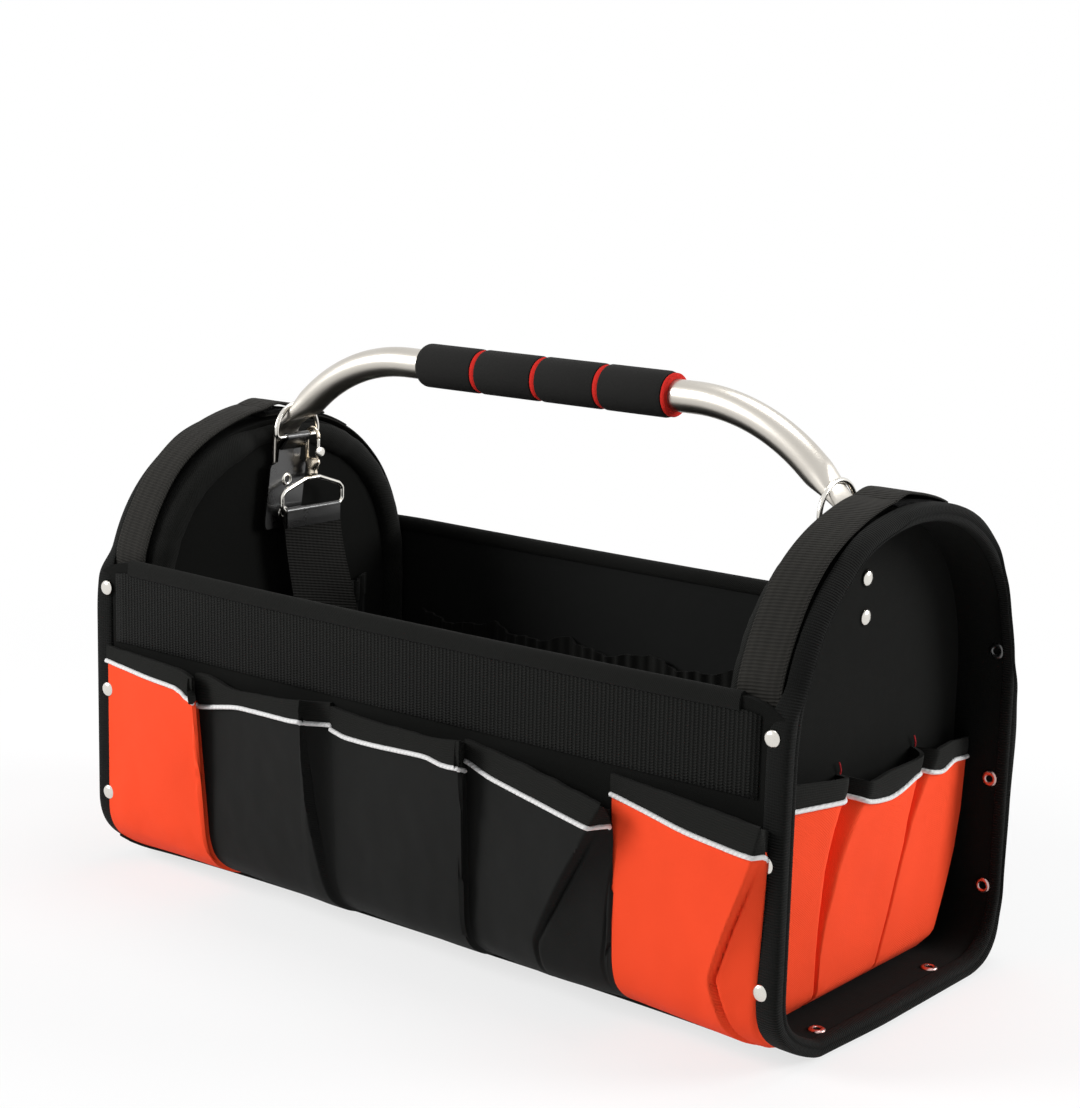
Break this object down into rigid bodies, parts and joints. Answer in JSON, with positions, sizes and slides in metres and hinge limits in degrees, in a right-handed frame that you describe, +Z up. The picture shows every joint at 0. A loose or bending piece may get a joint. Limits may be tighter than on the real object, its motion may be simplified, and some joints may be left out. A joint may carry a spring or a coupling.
{
  "type": "open-top tool bag",
  "caption": "Open-top fabric tool bag with arched ends, a bent steel tube handle with a foam grip, pockets inside and out, a flapped back pouch and a clip-on shoulder strap.",
  "frame": {"origin": "middle of the base's underside, which stands on the floor", "axes": "+X along the bag to the end shown on the right, +Y to the back, +Z up"},
  "size_m": [0.5, 0.2856, 0.329],
  "materials": {
    "black_cloth": "matt woven polyester",
    "orange_cloth": "matt woven polyester",
    "foam": "matt foam",
    "leather": "glossy",
    "steel": "polished"
  },
  "bodies": {
    "bag": {"base": "black_cloth", "front_wall": "black_cloth", "back_wall": "black_cloth", "front_inner_pockets": "black_cloth", "back_inner_pockets": "black_cloth", "back_pouch": "black_cloth", "strap_left": "black_cloth", "strap_right": "black_cloth", "right_end_rim": "black_cloth", "right_end_panel": "black_cloth", "right_edge_binding": "black_cloth", "right_arch_strap_front": "black_cloth", "right_arch_strap_back": "black_cloth", "right_end_inner_pockets": "black_cloth", "right_front_rivet_1": "steel", "right_front_rivet_2": "steel", "right_front_rivet_3": "steel", "right_back_rivet_1": "steel", "right_back_rivet_2": "steel", "right_back_rivet_3": "steel", "right_end_pocket": "orange_cloth", "right_tab": "leather", "right_tab_rivet_1": "steel", "right_tab_rivet_2": "steel", "left_end_rim": "black_cloth", "left_end_panel": "black_cloth", "left_edge_binding": "black_cloth", "left_arch_strap_front": "black_cloth", "left_arch_strap_back": "black_cloth", "left_end_inner_pockets": "black_cloth", "left_front_rivet_1": "steel", "left_front_rivet_2": "steel", "left_front_rivet_3": "steel", "left_back_rivet_1": "steel", "left_back_rivet_2": "steel", "left_back_rivet_3": "steel", "left_end_pocket": "orange_cloth", "left_tab": "leather", "left_tab_rivet_1": "steel", "left_tab_rivet_2": "steel", "front_pocket_1": "orange_cloth", "front_pocket_2": "black_cloth", "front_pocket_3": "black_cloth", "front_pocket_4": "black_cloth", "front_pocket_5": "orange_cloth", "handle_tube": "steel", "handle_grip": "foam", "strap_slider": "steel"},
    "right_d_ring": {"right_d_ring": "steel"},
    "right_strap_eye": {"right_strap_eye": "steel"},
    "right_hook": {"right_hook": "steel"},
    "right_hook_gate": {"right_hook_gate": "steel"},
    "right_arch_strap_tip": {"right_arch_strap_tip": "black_cloth"},
    "left_d_ring": {"left_d_ring": "steel"},
    "left_strap_eye": {"left_strap_eye": "steel"},
    "left_hook": {"left_hook": "steel"},
    "left_hook_gate": {"left_hook_gate": "steel"},
    "left_arch_strap_tip": {"left_arch_strap_tip": "black_cloth"},
    "back_flap": {"back_flap": "black_cloth"}
  },
  "joints": [
    {"name": "right_ring_hinge", "type": "hinge", "parent": "bag", "child": "right_d_ring", "pos_m": [0.1982, 0, 0.2615], "axis": [0, 1, 0], "range_deg": [0, 18]},
    {"name": "right_strap_swing", "type": "hinge", "parent": "bag", "child": "right_strap_eye", "pos_m": [0.1982, 0, 0.2615], "axis": [0, 1, 0], "range_deg": [0, 50], "deforming": ["strap_right"]},
    {"name": "right_hook_swivel", "type": "hinge", "parent": "right_strap_eye", "child": "right_hook", "pos_m": [0.1974, 0.0134, 0.2462], "axis": [0, 0, 1], "range_deg": [-20, 20]},
    {"name": "right_gate_hinge", "type": "hinge", "parent": "right_hook", "child": "right_hook_gate", "pos_m": [0.1924, 0.0134, 0.2482], "axis": [0, 1, 0], "range_deg": [0, 25], "stiffness_Nm_per_rad": 0.02},
    {"name": "right_tip_peel", "type": "hinge", "parent": "bag", "child": "right_arch_strap_tip", "pos_m": [0, -0.01133, 0.27256], "axis": [1, 0, 0], "range_deg": [0, 70]},
    {"name": "left_ring_hinge", "type": "hinge", "parent": "bag", "child": "left_d_ring", "pos_m": [-0.1982, 0, 0.2615], "axis": [0, -1, 0], "range_deg": [0, 18]},
    {"name": "left_strap_swing", "type": "hinge", "parent": "bag", "child": "left_strap_eye", "pos_m": [-0.1982, 0, 0.2615], "axis": [0, -1, 0], "range_deg": [0, 50], "deforming": ["strap_left"]},
    {"name": "left_hook_swivel", "type": "hinge", "parent": "left_strap_eye", "child": "left_hook", "pos_m": [-0.1974, 0.0134, 0.2462], "axis": [0, 0, 1], "range_deg": [-20, 20]},
    {"name": "left_gate_hinge", "type": "hinge", "parent": "left_hook", "child": "left_hook_gate", "pos_m": [-0.1924, 0.0134, 0.2482], "axis": [0, -1, 0], "range_deg": [0, 25], "stiffness_Nm_per_rad": 0.02},
    {"name": "left_tip_peel", "type": "hinge", "parent": "bag", "child": "left_arch_strap_tip", "pos_m": [0, -0.01133, 0.27256], "axis": [1, 0, 0], "range_deg": [0, 70]},
    {"name": "flap_hinge", "type": "hinge", "parent": "bag", "child": "back_flap", "pos_m": [0.058, 0.1183, 0.174], "axis": [1, 0, 0], "range_deg": [0, 100]}
  ]
}
